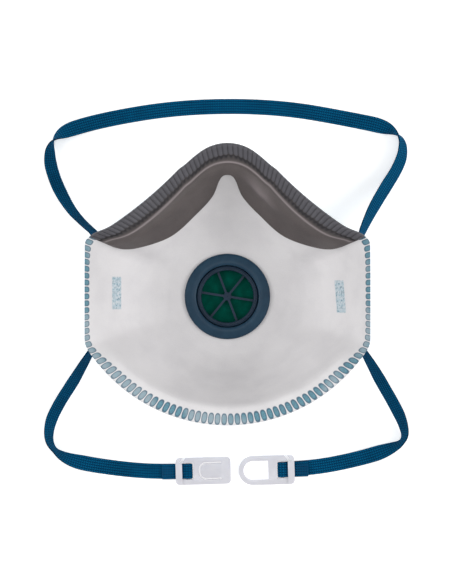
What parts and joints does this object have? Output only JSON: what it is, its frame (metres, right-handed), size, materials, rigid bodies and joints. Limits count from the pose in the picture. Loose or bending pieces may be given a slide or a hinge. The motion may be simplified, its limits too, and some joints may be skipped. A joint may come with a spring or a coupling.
{
  "type": "respirator",
  "caption": "Moulded cup filtering respirator with exhalation valve, nose seal and clip, head elastic, and neck elastics that end in a hook clip and a loop clip.",
  "frame": {"origin": "centre of the cup's box, on the surface that the valve cover lies on", "axes": "+X to the wearer's side seen on the right, +Y towards the nose, +Z towards the wearer's face"},
  "size_m": [0.1836, 0.1914, 0.0594],
  "materials": {
    "cover_fabric": "thermally bonded nonwoven, light blue",
    "filter_web": "meltblown filter web, white",
    "lining": "soft nonwoven lining, white",
    "seal_foam": "smooth skinned foam, warm grey",
    "nose_metal": "soft annealed strip",
    "valve_flange": "moulded, satin, slate blue",
    "valve_body": "moulded, finely textured, dark blue",
    "valve_rubber": "thin soft disc, green",
    "elastic": "knitted elastic, petrol blue",
    "clip_plastic": "milky translucent",
    "thread": "polyester thread"
  },
  "bodies": {
    "cup": {"outer_cover": "cover_fabric", "filter_media": "filter_web", "inner_shell": "lining", "nose_seal": "seal_foam", "nose_clip": "nose_metal", "valve_inner_ring": "valve_flange", "valve_seat": "valve_body", "valve_cover": "valve_flange", "left_strap_end": "elastic", "right_strap_end": "elastic"},
    "diaphragm": {"valve_diaphragm": "valve_rubber"},
    "head_elastic": {"head_strap": "elastic"},
    "left_neck_elastic": {"left_neck_strap": "elastic", "hook_hem_stitching": "thread"},
    "right_neck_elastic": {"right_neck_strap": "elastic", "loop_hem_stitching": "thread"},
    "hook": {"hook_clip": "clip_plastic"},
    "loop": {"loop_clip": "clip_plastic"}
  },
  "joints": [
    {"name": "diaphragm_lift", "type": "slide", "parent": "cup", "child": "diaphragm", "axis": [0, 0, -1], "range_m": [0, 0.0012], "stiffness_N_per_m": 30, "springref_m": -0.0002},
    {"name": "head_strap_swing", "type": "hinge", "parent": "cup", "child": "head_elastic", "pos_m": [0, 0.026, 0.0146], "axis": [1, 0, 0], "range_deg": [0, 100]},
    {"name": "left_neck_strap_swing", "type": "hinge", "parent": "cup", "child": "left_neck_elastic", "pos_m": [-0.0664, -0.032, 0.014], "axis": [-1, 0, 0], "range_deg": [0, 100]},
    {"name": "right_neck_strap_swing", "type": "hinge", "parent": "cup", "child": "right_neck_elastic", "pos_m": [0.0664, -0.032, 0.014], "axis": [-1, 0, 0], "range_deg": [0, 100]},
    {"name": "hook_clip_tilt", "type": "hinge", "parent": "left_neck_elastic", "child": "hook", "pos_m": [-0.0196, -0.0926, 0.0019], "axis": [-0.0279, 0.9996, 0], "range_deg": [0, 90]},
    {"name": "loop_clip_tilt", "type": "hinge", "parent": "right_neck_elastic", "child": "loop", "pos_m": [0.0272, -0.0918, 0.0019], "axis": [0.0279, -0.9996, 0], "range_deg": [0, 90]}
  ]
}
